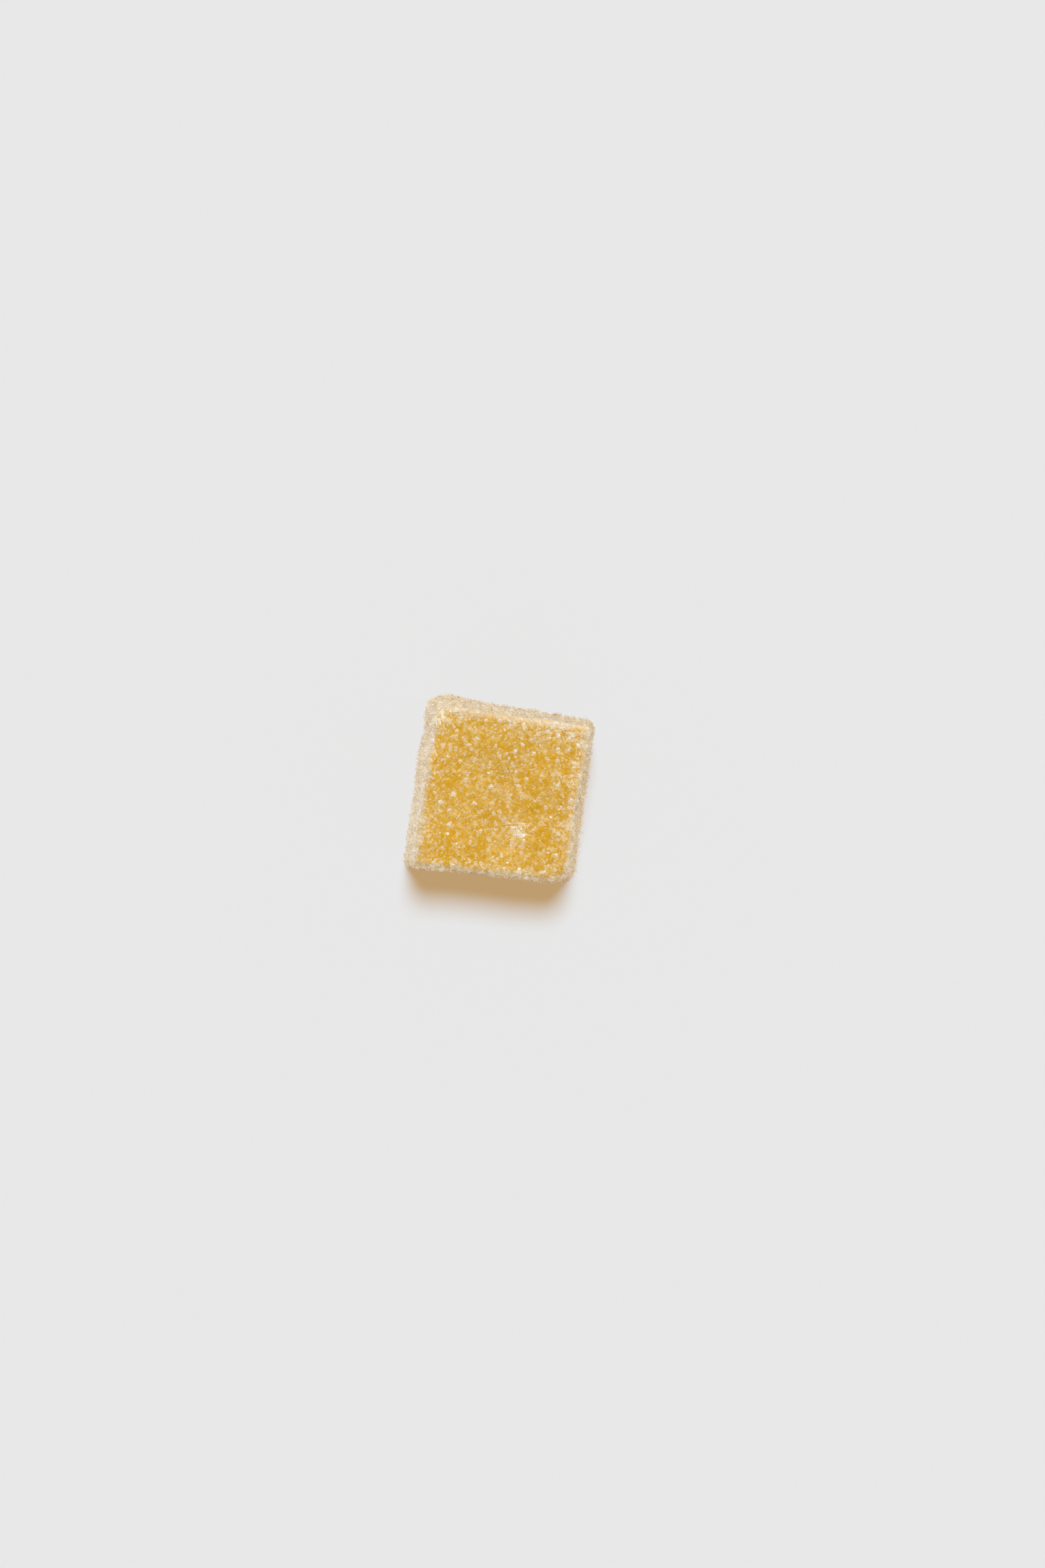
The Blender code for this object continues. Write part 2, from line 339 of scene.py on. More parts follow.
class SugarSizes(bpy.types.PropertyGroup):
    """Sizes and amounts of the sugar grains."""

    seed: IntProperty(name="Seed", description="Start of every random draw", default=11)
    coarse_count: IntProperty(name="Coarse sugar", description="Number of coarse grains", default=380)
    coarse_gap: length_setting("Coarse sugar, gap", GAP, 1.3 * MM)
    coarse_short: length_setting("Coarse sugar, shortest", SHORTEST, 0.532 * MM)
    coarse_long: length_setting("Coarse sugar, longest", LONGEST, 0.76 * MM)
    coarse_sunk: share_setting("Coarse sugar, sunk", "Depth of a coarse grain's middle, in its lengths", 0.29)
    coarse_clear: length_setting("Coarse sugar, clear", "No coarse grain is set lower than this", 1.0 * MM)
    face_sugar_density: FloatProperty(name="Face sugar", description=DENSITY, default=16.0e6)
    face_sugar_gap: length_setting("Face sugar, gap", GAP, 0.15 * MM)
    face_sugar_short: length_setting("Face sugar, shortest", SHORTEST, 0.20 * MM)
    face_sugar_long: length_setting("Face sugar, longest", LONGEST, 0.60 * MM)
    wall_sugar_density: FloatProperty(name="Wall sugar", description=DENSITY, default=7.0e6)
    wall_sugar_gap: length_setting("Wall sugar, gap", GAP, 0.22 * MM)
    wall_sugar_short: length_setting("Wall sugar, shortest", SHORTEST, 0.34 * MM)
    wall_sugar_long: length_setting("Wall sugar, longest", LONGEST, 0.85 * MM)
    face_dust_density: FloatProperty(name="Face dust", description=DENSITY, default=60.0e6)
    face_dust_gap: length_setting("Face dust, gap", GAP, 0.10 * MM)
    face_dust_short: length_setting("Face dust, shortest", SHORTEST, 0.14 * MM)
    face_dust_long: length_setting("Face dust, longest", LONGEST, 0.36 * MM)
    wall_dust_density: FloatProperty(name="Wall dust", description=DENSITY, default=9.0e6)
    wall_dust_gap: length_setting("Wall dust, gap", GAP, 0.14 * MM)
    wall_dust_short: length_setting("Wall dust, shortest", SHORTEST, 0.11 * MM)
    wall_dust_long: length_setting("Wall dust, longest", LONGEST, 0.30 * MM)


class StageSizes(bpy.types.PropertyGroup):
    """The table, the lights and the camera."""

    lens: FloatProperty(name="Lens", description="Focal length", default=85.0, unit="CAMERA")
    frame_height: length_setting("Frame height", "Height of what the camera sees, at the candy", 208.6 * MM)
    lean_back: angle_setting("Lean back", "How far the camera stands behind the upright over the candy", 3.4)
    lean_left: angle_setting("Lean left", "How far the camera stands to the left of that upright", 1.6)
    roll: angle_setting("Roll", "How far the candy is turned clockwise in the picture", 7.2)
    right_of_candy: length_setting(
        "Right of the candy", "How far the picture's middle lies to the right of the candy's", 2.95 * MM
    )
    above_candy: length_setting(
        "Above the candy", "How far the picture's middle lies above the candy's", 1.2 * MM
    )
    table: colour_setting("Table", "Colour of the table", (0.86, 0.86, 0.86))
    sky: FloatProperty(name="Sky", description="Strength of the even light from above", default=0.05)
    horizon: FloatProperty(name="Horizon", description="Strength of the light from the sides", default=1.80)
    lamp: FloatProperty(
        name="Lamp", description="Strength of the lamp in watts to the square metre", default=2.70
    )
    lamp_spread: angle_setting("Lamp spread", "How wide the lamp looks from the candy", 22.0)


def waves(point, kinds):
    """A value that drifts around 0 from place to place: the sum of several waves of noise."""
    return sum(height * noise.noise(point / length) for height, length in kinds)


def crowded(share, crowding):
    """A step's place from -1 to 1 along a side, moved towards the nearer end."""
    return share + crowding * math.sin(math.pi * share) / math.pi


def rounded_plan(across, along):
    """A point of the square from -1 to 1, moved to where it lies once the square's corners are rounded."""
    size = max(abs(across), abs(along))
    if size == 0:
        return across, along
    sides = (math.copysign(1, across), math.copysign(1, along))
    straight = 1 - CORNER_ROUND[sides]
    past = [max(0.0, abs(c) / size - straight) for c in (across, along)]
    if min(past) == 0:
        return across, along
    shrink = max(past) / math.hypot(*past)
    return tuple(side * size * (straight + p * shrink) for side, p in zip(sides, past))


def rounded_section(jelly, out, rise):
    """A point of the upright section, moved to where it lies once the section's corners are rounded.

    out is the distance from the middle axis and rise the height above mid-height.
    """
    half = (jelly.face_width / 2, jelly.height / 2)
    radius = jelly.face_edge if rise > 0 else jelly.base_edge
    core = Vector(math.copysign(min(h - radius, abs(p)), p) for p, h in zip((out, rise), half))
    past = Vector((out, rise)) - core
    if past.length == 0:
        return out, rise
    return tuple(core + past * (max(abs(c) for c in past) / past.length))


def corner_pull(pulls, across, along):
    """How far a point of the square from -1 to 1 follows the four corners' pulls."""
    moved = Vector((0.0, 0.0))
    for (side_x, side_y), pull in pulls.items():
        moved += Vector(pull) * ((1 + side_x * across) * (1 + side_y * along) / 4)
    return moved


def jelly_point(jelly, across, along, up):
    """Where a point of the cube from -1 to 1 lies on the jelly block's surface."""
    size = max(abs(across), abs(along))
    out, rise = rounded_section(jelly, size * jelly.face_width / 2, up * jelly.height / 2)
    kept = out / (size * jelly.face_width / 2) if size > 0 else 1.0
    across, along = rounded_plan(across * kept, along * kept)
    height = max(0.0, rise / jelly.height + 0.5)
    face = Vector((across * jelly.face_width / 2, along * jelly.face_depth / 2))
    face += corner_pull(FACE_PULLS, across, along)
    base = Vector((across * jelly.base_width / 2, along * jelly.base_depth / 2))
    base += corner_pull(BASE_PULLS, across, along)
    place = base.lerp(face, height)
    drawn = jelly.base_draw + (jelly.wall_draw - jelly.base_draw) * math.sin(math.pi * height)
    place.x -= drawn * across**3 * (1 - along**2)
    place.y -= drawn * along**3 * (1 - across**2)
    if across < 0:
        beside = (along - jelly.dent_place) / jelly.dent_width
        place.x += jelly.dent_depth * across**4 * math.exp(-(beside**2))
    sunk = jelly.dish * (1 - across**2) * (1 - along**2) * height**4
    return Vector((place.x, place.y, height * jelly.height - sunk))


def swelling(jelly, point, kinds):
    """How far the surface swells out at a point. The base stays flat: swellings fade out towards it."""
    return waves(point, kinds) * min(1.0, point.z / jelly.base_edge)


def side_point(side, u, v):
    """A point of one side of the cube from -1 to 1."""
    return {
        "face": (u, v, 1.0),
        "left": (-1.0, -u, v),
        "right": (1.0, u, v),
        "front": (u, -1.0, v),
        "back": (-u, 1.0, v),
    }[side]


def surface(jelly, side, u, v):
    """The jelly's point and outward normal at u and v on one side."""
    step = 0.02
    places = [(u - step, v), (u + step, v), (u, v - step), (u, v + step)]
    left, right, below, above = (jelly_point(jelly, *side_point(side, *place)) for place in places)
    normal = (right - left).cross(above - below).normalized()
    point = jelly_point(jelly, *side_point(side, u, v))
    return point + normal * swelling(jelly, point, (LUMPS,)), normal


class NodeTree:
    """A node tree under construction."""

    def __init__(self, tree):
        self.tree = tree

    def link(self, start, end):
        self.tree.links.new(start, end)

    def feed(self, socket, value):
        """Links another socket to this one, or sets it to a plain value; a plain colour has no alpha."""
        if isinstance(value, bpy.types.NodeSocket):
            self.link(value, socket)
        elif socket.type == "RGBA":
            socket.default_value = (*value, 1.0)
        else:
            socket.default_value = value

    def node(self, kind, inputs=None, **settings):
        """A new node, with its settings and with what feeds its inputs, by their names or numbers."""
        made = self.tree.nodes.new(kind)
        for name, value in settings.items():
            setattr(made, name, value)
        for name, value in (inputs or {}).items():
            self.feed(made.inputs[name], value)
        return made

    def math(self, operation, first, second, limited=False):
        """A sum, product or the like, held between 0 and 1 where it is limited."""
        inputs = {0: first, 1: second}
        return self.node("ShaderNodeMath", inputs, operation=operation, use_clamp=limited).outputs[0]

    def mixed(self, factor, first, second, kind="RGBA"):
        """A colour, or a value of another kind, between two others."""
        inputs = {"Factor": factor, "A": first, "B": second}
        return self.node("ShaderNodeMix", inputs, data_type=kind).outputs["Result"]

    def ramp(self, value, band, smooth=False, least=0.0, most=1.0):
        """A value between least and most, as another runs from a band's low end to its high end."""
        names = ("Value", "From Min", "From Max", "To Min", "To Max")
        inputs = dict(zip(names, (value, *band, least, most)))
        kind = "SMOOTHSTEP" if smooth else "LINEAR"
        return self.node("ShaderNodeMapRange", inputs, interpolation_type=kind).outputs["Result"]


class MaterialTree(NodeTree):
    """A material's node tree under construction, around its Principled shader."""

    def __init__(self, name):
        self.material = bpy.data.materials.new(name)
        self.material.use_nodes = True
        super().__init__(self.material.node_tree)
        self.shader = self.tree.nodes["Principled BSDF"]

    def shade(self, values):
        """Feeds the shader's sockets by their names."""
        for name, value in values.items():
            self.feed(self.shader.inputs[name], value)

    def place(self):
        """The piece's own coordinates."""
        return self.node("ShaderNodeTexCoord").outputs["Object"]

    def noise(self, pattern):
        """Noise over the piece's own coordinates."""
        inputs = {"Vector": self.place(), "Scale": pattern.scale, "Detail": pattern.detail}
        return self.node("ShaderNodeTexNoise", inputs).outputs["Fac"]

    def stored(self, name):
        """A value that the mesh keeps at each of its points."""
        return self.node("ShaderNodeAttribute", attribute_name=name).outputs["Fac"]

    def let_light_through(self, colour):
        """Lets light from lamps and sky, in a colour, reach what lies behind a clear or cloudy thing."""
        shadow = self.node("ShaderNodeLightPath").outputs["Is Shadow Ray"]
        open_way = self.node("ShaderNodeBsdfTransparent", {"Color": colour}).outputs["BSDF"]
        mix = self.node("ShaderNodeMixShader", {0: shadow, 1: self.shader.outputs["BSDF"], 2: open_way})
        self.link(mix.outputs["Shader"], self.tree.nodes["Material Output"].inputs["Surface"])


def veil_factor(tree):
    """How far a veil of the finest sugar, the outlines of tiny crystals, pales the jelly."""
    cells = tree.node("ShaderNodeTexVoronoi", {"Vector": tree.place(), "Scale": VEIL_CRYSTALS})
    outline = tree.ramp(cells.outputs["Distance"], OUTLINE_BAND, smooth=True)
    patch = tree.ramp(tree.noise(VEIL_DRIFT), DRIFT_BAND)
    thick = tree.ramp(tree.stored("face_coat"), COAT_BAND, least=VEIL_LEAST, most=VEIL_MOST)
    return tree.math("MULTIPLY", tree.math("MULTIPLY", outline, patch), thick)


def skin_colour(tree, jelly):
    """The pale skin under the walls' sugar: whiter where there is frost, and darkened by the attribute that
    holds painted shade.
    """
    frost = tree.math("MULTIPLY", tree.stored("frost"), FROST_STRENGTH)
    whiteness = tree.ramp(tree.math("ADD", frost, tree.noise(CREAM_PATCHES)), CREAM_BAND)
    pale = tree.mixed(whiteness, jelly.syrup, jelly.cream)
    return tree.mixed(tree.stored("tone"), BLACK, pale)


def jelly_material(jelly):
    """Cloudy amber jelly whose colour drifts, with a pale skin under the walls' sugar."""
    tree = MaterialTree("amber_jelly")
    drift = tree.mixed(MOTTLE_SHARE, tree.noise(COLOUR_DRIFT), tree.noise(COLOUR_MOTTLE), "FLOAT")
    amber = tree.mixed(tree.ramp(drift, HONEY_BAND), jelly.amber, jelly.honey)
    amber = tree.mixed(veil_factor(tree), amber, jelly.veil)
    depth = tree.math("ADD", tree.stored("wall"), tree.noise(SKIN_SPECKLE))
    skin = tree.ramp(depth, SKIN_BAND, smooth=True, most=SKIN_MOST)
    colour = tree.mixed(skin, amber, skin_colour(tree, jelly))
    grain = {"Strength": GRAIN_STRENGTH, "Distance": GRAIN_HEIGHT, "Height": tree.noise(SURFACE_GRAIN)}
    bump = tree.node("ShaderNodeBump", grain)
    tree.shade({**JELLY_SHADER, "Base Color": colour, "Normal": bump.outputs["Normal"]})
    tree.let_light_through(jelly.glow)
    return tree.material


def sugar_material(name, look):
    """Sugar: clear in the middle of each facet, bright where facets meet, and each grain a little different.

    A facet's clearness follows the attribute rim, and a grain's the attribute shade. The brightness where
    facets meet is partly painted highlight, for light that a clear grain refracts and reflects at its edges.
    """
    tree = MaterialTree(name)
    shade = tree.stored("shade")
    frost = tree.stored("frost")
    whiteness = tree.math("ADD", shade, frost, limited=True)
    body = tree.ramp(shade, (0.0, 1.0), least=look.clearest, most=look.cloudiest)
    edge = tree.math("POWER", tree.stored("rim"), look.thinness)
    cover = tree.mixed(edge, body, look.rim, "FLOAT")
    tree.shade({"Base Color": tree.mixed(whiteness, look.warm, look.white)})
    tree.shade({"Alpha": tree.math("ADD", cover, frost, limited=True)})
    tree.shade({"Roughness": look.roughness, "IOR": SUGAR_IOR, "Specular IOR Level": look.gloss})
    return tree.material


def table_material(colour):
    """The plain pale table."""
    tree = MaterialTree("pale_table")
    tree.shade({**TABLE_SHADER, "Base Color": colour})
    return tree.material


def made_mesh(name, model):
    """A mesh of a finished bmesh."""
    mesh = bpy.data.meshes.new(name)
    model.to_mesh(mesh)
    model.free()
    return mesh


def store(mesh, name, kind, values):
    """Keeps a value at each of a mesh's points."""
    field = {"FLOAT": "value", "FLOAT_VECTOR": "vector"}[kind]
    mesh.attributes.new(name, kind, "POINT").data.foreach_set(field, values)


def divided_cube(steps, steps_up):
    """A cube from -1 to 1 whose faces are cut into a grid."""
    cube = bmesh.new()
    bmesh.ops.create_cube(cube, size=2.0)
    for axis, count in ((0, steps), (1, steps), (2, steps_up)):
        runs = [e for e in cube.edges if e.verts[0].co[axis] != e.verts[1].co[axis]]
        bmesh.ops.subdivide_edges(cube, edges=runs, cuts=count - 1, use_grid_fill=True)
    return cube


def way_out(jelly, point):
    """How far out a point lies on the face, from 0 in its middle to 1 at its edge."""
    return max(abs(point.x) / (jelly.face_width / 2), abs(point.y) / (jelly.face_depth / 2))


def rim_share(jelly, point, start):
    """How far out a point lies past the start of a rim, from 0 there to 1 at the face's edge."""
    return max(0.0, way_out(jelly, point) - start) / (1 - start)


def spot_share(point, x, y, radius):
    """How near a point is to a spot's middle, from 1 there to almost 0 at two radii."""
    away = math.hypot(point.x - x * MM, point.y - y * MM) / (radius * MM)
    return math.exp(-(away**2))


def side_coat_and_shade(jelly, point):
    """The coat and painted skin shade of the wall that a point is nearest to, blended with the next wall's at
    a corner.
    """
    across, along = point.x / jelly.face_width, point.y / jelly.face_depth
    near = [max(0.0, side[0] * across + side[1] * along) ** CORNER_SHARPNESS for side in SIDE_COATS_AND_SHADE]
    whole = max(sum(near), TINY)
    return Coat(*(sum(c * n / whole for c, n in zip(values, near)) for values in zip(*SIDE_COATS_AND_SHADE.values())))


def frost_share(jelly, point, normal):
    """How white the sugar is at a point, from 0 up."""
    if normal.z < LEVEL:
        patches = 1.0 + waves(point, WALL_FROST_WAVES)
        # on the walls the whiteness is partly painted light: cooler on the left, warmer on the right
        return max(0.0, patches * side_coat_and_shade(jelly, point).whiteness)
    share = RIM_FROST * rim_share(jelly, point, FROST_START)
    share += sum(strength * spot_share(point, *spot) for *spot, strength in FROST_SPOTS)
    return FACE_FROST * share * (1.0 + waves(point, FACE_FROST_WAVES))


def face_share(jelly, point, normal):
    """How densely sugar lies at a point of the face, from 0 to 1; 0 on the walls."""
    if normal.z < LEVEL:
        return 0.0
    share = FACE_COVER + waves(point, FACE_WAVES)
    share -= SPOT_THINNING * sum(spot_share(point, *spot) for spot in THIN_SPOTS)
    share += frost_share(jelly, point, normal)
    share += RIM_COVER * rim_share(jelly, point, RIM_START)
    share += BACK_COVER * point.y / jelly.face_width
    return min(1.0, max(LEAST_COVER, share))


def wall_share(jelly, point, normal):
    """How far a point belongs to the walls or the underside, from 0 to 1; on the face, only at its rim."""
    slope = WALL_START - WALL_LOSS * normal.z
    crest = (way_out(jelly, point) - CREST_START - waves(point, CREST_WAVES)) / CREST_WIDTH
    return min(1.0, max(0.0, slope, crest))


def wall_coat_share(jelly, point, normal):
    """How densely sugar lies on the walls and the underside, from 0 to 1."""
    if normal.z < -LEVEL:
        return BASE_COVER
    uneven = 1.0 + waves(point, WALL_WAVES)
    # each wall's thickness is partly painted light: thinner on the lamp-lit top wall and on the right wall
    return wall_share(jelly, point, normal) * min(1.0, uneven * side_coat_and_shade(jelly, point).thickness)


def painted_skin_shade(jelly, point, normal):
    """Painted shade on the skin under the walls' sugar: darker on better-lit walls and at the crest, which
    faces the light.
    """
    return side_coat_and_shade(jelly, point).brightness * (1.0 - PAINTED_CREST_SHADE * max(0.0, normal.z))


# The attributes of the jelly's mesh, and what works out each
SHARES = {
    "face_coat": face_share,
    "wall_coat": wall_coat_share,
    "wall": wall_share,
    # painted shade: the skin darkened where more light falls on it
    "tone": painted_skin_shade,
    "frost": frost_share,
}


def jelly_mesh(jelly):
    """The jelly block's surface, with how densely sugar lies on it as attributes."""
    block = divided_cube(jelly.steps, jelly.steps_up)
    for vertex in block.verts:
        vertex.co = jelly_point(jelly, *(crowded(c, CROWDING) for c in vertex.co))
    block.normal_update()
    moves = [swelling(jelly, vertex.co, RELIEF) - jelly.skin for vertex in block.verts]
    for vertex, move in zip(block.verts, moves):
        vertex.co += vertex.normal * move
    block.normal_update()
    values = {
        name: [share(jelly, vertex.co, vertex.normal) for vertex in block.verts]
        for name, share in SHARES.items()
    }
    mesh = made_mesh("jelly", block)
    mesh.shade_smooth()
    for name, shares in values.items():
        store(mesh, name, "FLOAT", shares)
    return mesh


def cut_corner(crystal, draw, shape):
    """Cuts a corner or an edge off a crystal."""
    corner = Vector(draw.choice((-1, 1)) * s / 2 for s in shape)
    corner[draw.randrange(3)] *= draw.choice((0.0, 1.0))
    facing = Vector(c / s**2 for c, s in zip(corner, shape)).normalized()
    facing += Vector(draw.uniform(-CUT_TILT, CUT_TILT) for _ in range(3))
    bmesh.ops.bisect_plane(
        crystal,
        geom=crystal.verts[:] + crystal.edges[:] + crystal.faces[:],
        plane_co=corner * draw.uniform(*CUT_PLACE),
        plane_no=facing,
        clear_outer=True,
    )
    edges = [e for e in crystal.edges if e.is_boundary]
    if edges:
        bmesh.ops.contextual_create(crystal, geom=edges)


def crystal_mesh(name, draw, shape, cuts, domed):
    """One sugar crystal, a unit long: a slanted block with some of its corners and edges cut away.

    A domed crystal's facets have a vertex in their middle, where the attribute rim is mostly low.
    """
    crystal = bmesh.new()
    bmesh.ops.create_cube(crystal, size=1.0)
    bmesh.ops.transform(crystal, matrix=Matrix.Diagonal((*shape, 1.0)), verts=crystal.verts)
    slant = Matrix.Shear("XY", 4, tuple(draw.uniform(-most, most) for most in CRYSTAL_SLANT))
    bmesh.ops.transform(crystal, matrix=slant, verts=crystal.verts)
    for _ in range(cuts):
        cut_corner(crystal, draw, shape)
    bmesh.ops.recalc_face_normals(crystal, faces=crystal.faces)
    rim = crystal.verts.layers.float.new("rim")
    # painted highlight: each grain covers more towards one side, a painted crescent of refracted light
    painted_glint_side = Vector(draw.gauss(0.0, 1.0) for _ in range(3)).normalized()
    for vertex in crystal.verts:
        swing = RIM_SWING * vertex.co.normalized().dot(painted_glint_side)
        vertex[rim] = RIM_MIDDLE + swing if domed else PLAIN_RIM
    if domed:
        middles = bmesh.ops.poke(
            crystal, faces=crystal.faces, offset=DOME_RISE, use_relative_offset=False
        )
        for vertex in middles["verts"]:
            vertex[rim] = draw.choice(FACET_RIMS)
    return made_mesh(name, crystal)


def chip_mesh(name, draw, shape):
    """One small chip of sugar, a unit long: a crooked double pyramid."""
    chip = bmesh.new()
    rim = chip.verts.layers.float.new("rim")
    corners = []
    for axis in range(3):
        for way in (-0.5, 0.5):
            place = Vector((0.0, 0.0, 0.0))
            place[axis] = way
            place += Vector(draw.uniform(-CHIP_STRAY, CHIP_STRAY) for _ in range(3))
            corner = chip.verts.new(c * s for c, s in zip(place, shape))
            corner[rim] = draw.choice(CHIP_RIMS)
            corners.append(corner)
    left, right, front, back, low, high = corners
    ring = (left, front, right, back)
    for first, second in zip(ring, ring[1:] + ring[:1]):
        chip.faces.new((first, second, high))
        chip.faces.new((second, first, low))
    return made_mesh(name, chip)


def crystal_kinds(name, seed, cuts, domed=True):
    """A collection of crystals of several shapes, or of chips, for a node tree to choose from."""
    draw = random.Random(seed)
    collection = bpy.data.collections.new(name)
    bpy.context.scene.collection.children.link(collection)
    for index in range(CRYSTAL_SHAPES):
        shape = (1.0, draw.uniform(*CRYSTAL_DEPTH), draw.uniform(*CRYSTAL_HEIGHT))
        label = f"{name}_{index:02}"
        if cuts is None:
            mesh = chip_mesh(label, draw, shape)
        else:
            mesh = crystal_mesh(label, draw, shape, cuts, domed)
        collection.objects.link(bpy.data.objects.new(mesh.name, mesh))
    return collection


def drop_kinds(collection):
    """Removes the crystals that a node tree has used."""
    for crystal in list(collection.objects):
        bpy.data.objects.remove(crystal)
    bpy.data.collections.remove(collection)


class GrainTree(NodeTree):
    """A Geometry Nodes tree under construction, which puts crystals on points."""

    def __init__(self, name, more_inputs):
        super().__init__(bpy.data.node_groups.new(name, "GeometryNodeTree"))
        self.tree.is_modifier = True
        sockets = self.tree.interface
        sockets.new_socket("Geometry", in_out="OUTPUT", socket_type="NodeSocketGeometry")
        for label, kind in {**GRAIN_INPUTS, **more_inputs}.items():
            sockets.new_socket(label, in_out="INPUT", socket_type=f"NodeSocket{kind}")
        self.entry = self.node("NodeGroupInput")

    def input(self, name):
        return self.entry.outputs[name]

    def drawn(self, kind, low, high, seed):
        """A random value for each point or crystal."""
        least, most, result = RANDOM_SOCKETS[kind]
        inputs = {least: low, most: high, "Seed": seed}
        return self.node("FunctionNodeRandomValue", inputs, data_type=kind).outputs[result]

    def named(self, name, kind="FLOAT"):
        """An attribute's value. The name may be a socket."""
        return self.node("GeometryNodeInputNamedAttribute", {"Name": name}, data_type=kind).outputs[0]

    def stored(self, geometry, name, kind, domain, value):
        """Geometry with a value kept as an attribute."""
        inputs = {"Geometry": geometry, "Name": name, "Value": value}
        kept = self.node("GeometryNodeStoreNamedAttribute", inputs, data_type=kind, domain=domain)
        return kept.outputs[0]

    def rotation(self, angles):
        """The turn by three angles."""
        return self.node("FunctionNodeEulerToRotation", {0: angles}).outputs[0]

    def above_table(self, geometry):
        """Lifts what lies lower than the table onto it."""
        place = self.node("GeometryNodeInputPosition").outputs[0]
        highest = self.node("ShaderNodeVectorMath", {0: place, 1: LOWEST}, operation="MAXIMUM")
        inputs = {"Geometry": geometry, "Position": highest.outputs[0]}
        return self.node("GeometryNodeSetPosition", inputs).outputs[0]

    def lit(self, geometry):
        """Turns facets' normals towards that of the surface under them, as far as the input Soaking says."""
        facing = self.node("GeometryNodeInputNormal").outputs["True Normal"]
        outward = self.named("outward", "FLOAT_VECTOR")
        blend = self.mixed(self.input("Soaking"), facing, outward, "VECTOR")
        unit = self.node("ShaderNodeVectorMath", {0: blend}, operation="NORMALIZE").outputs[0]
        inputs = {"Mesh": geometry, "Custom Normal": unit}
        return self.node("GeometryNodeSetMeshNormal", inputs, mode="FREE", domain="CORNER").outputs[0]

    def finish(self, points, rotation):
        """Puts a crystal as long as the attribute size on each point, and makes them one painted mesh."""
        inputs = {"Collection": self.input("Crystals"), "Separate Children": True, "Reset Children": True}
        kinds = self.node("GeometryNodeCollectionInfo", inputs, transform_space="ORIGINAL")
        inputs = {
            "Points": points,
            "Instance": kinds.outputs[0],
            "Pick Instance": True,
            "Instance Index": self.drawn("INT", 0, HIGHEST_CHOICE, CHOICE_SEED),
            "Rotation": rotation,
            "Scale": self.named("size"),
        }
        placed = self.node("GeometryNodeInstanceOnPoints", inputs).outputs[0]
        cloud = self.math("POWER", self.drawn("FLOAT", 0.0, 1.0, SHADE_SEED), SHADE_SKEW)
        shaded = self.stored(placed, "shade", "FLOAT", "INSTANCE", cloud)
        joined = self.node("GeometryNodeRealizeInstances", {"Geometry": shaded}).outputs[0]
        inputs = {"Geometry": self.lit(self.above_table(joined)), "Material": self.input("Material")}
        painted = self.node("GeometryNodeSetMaterial", inputs).outputs[0]
        self.node("NodeGroupOutput", {"Geometry": painted})
        return self.tree


def placed_grains_tree():
    """Crystals on the points of a mesh, each with its own size and turn kept as attributes."""
    tree = GrainTree("placed_sugar_grains", {})
    points = tree.node("GeometryNodeMeshToPoints", {"Mesh": tree.input("Surface")})
    return tree.finish(points.outputs[0], tree.rotation(tree.named("turn", "FLOAT_VECTOR")))


def sown_grains_tree():
    """Crystals sown over a surface, more of them where the attribute named by Coat is high."""
    tree = GrainTree("sown_sugar_grains", SOWN_INPUTS)
    inputs = {
        "Mesh": tree.input("Surface"),
        "Distance Min": tree.input("Spacing"),
        "Density Max": tree.input("Density"),
        "Density Factor": tree.named(tree.input("Coat")),
        "Seed": tree.input("Seed"),
    }
    sown = tree.node("GeometryNodeDistributePointsOnFaces", inputs, distribute_method="POISSON")
    outward = sown.outputs["Normal"]
    skew = tree.math("POWER", tree.drawn("FLOAT", 0.0, 1.0, LENGTH_SEED), LENGTH_SKEW)
    span = tree.math("SUBTRACT", tree.input("Longest"), tree.input("Shortest"))
    size = tree.math("ADD", tree.math("MULTIPLY", skew, span), tree.input("Shortest"))
    sized = tree.stored(sown.outputs["Points"], "size", "FLOAT", "POINT", size)
    sized = tree.stored(sized, "outward", "FLOAT_VECTOR", "POINT", outward)
    depth = tree.math("MULTIPLY", tree.named("size"), tree.input("Sunk"))
    inward = {0: outward, "Scale": tree.math("MULTIPLY", depth, -1.0)}
    push = tree.node("ShaderNodeVectorMath", inward, operation="SCALE").outputs[0]
    sunk = tree.node("GeometryNodeSetPosition", {"Geometry": sized, "Offset": push})
    spin = tree.drawn("FLOAT_VECTOR", (-1.0, -1.0, -1.0), (1.0, 1.0, 1.0), SPIN_SEED)
    apart = tree.node("ShaderNodeSeparateXYZ", {0: spin})
    limits = enumerate((tree.input("Tumble"), tree.input("Tumble"), math.pi))
    angles = {axis: tree.math("MULTIPLY", apart.outputs[axis], most) for axis, most in limits}
    tumble = tree.rotation(tree.node("ShaderNodeCombineXYZ", angles).outputs[0])
    turns = {0: sown.outputs["Rotation"], 1: tumble}
    turned = tree.node("FunctionNodeRotateRotation", turns, rotation_space="LOCAL")
    return tree.finish(sunk.outputs[0], turned.outputs[0])


def grown(name, mesh, tree, values):
    """The mesh that a tree makes of another, as a plain object with no modifier left on it."""
    piece = bpy.data.objects.new(name, mesh)
    bpy.context.scene.collection.objects.link(piece)
    modifier = piece.modifiers.new(name, "NODES")
    modifier.node_group = tree
    sockets = {s.name: s.identifier for s in tree.interface.items_tree if s.in_out == "INPUT"}
    for label, value in values.items():
        modifier[sockets[label]] = value
    bpy.context.view_layer.update()
    graph = bpy.context.evaluated_depsgraph_get()
    made = bpy.data.meshes.new_from_object(piece.evaluated_get(graph))
    piece.modifiers.clear()
    piece.data = made
    made.name = name
    if not made.polygons:
        raise RuntimeError(f"{name} came out empty")
    # clear grains pass light on, so they cast no shadow and darken nothing beside them
    piece.visible_shadow = False
    piece.visible_diffuse = False
    return piece


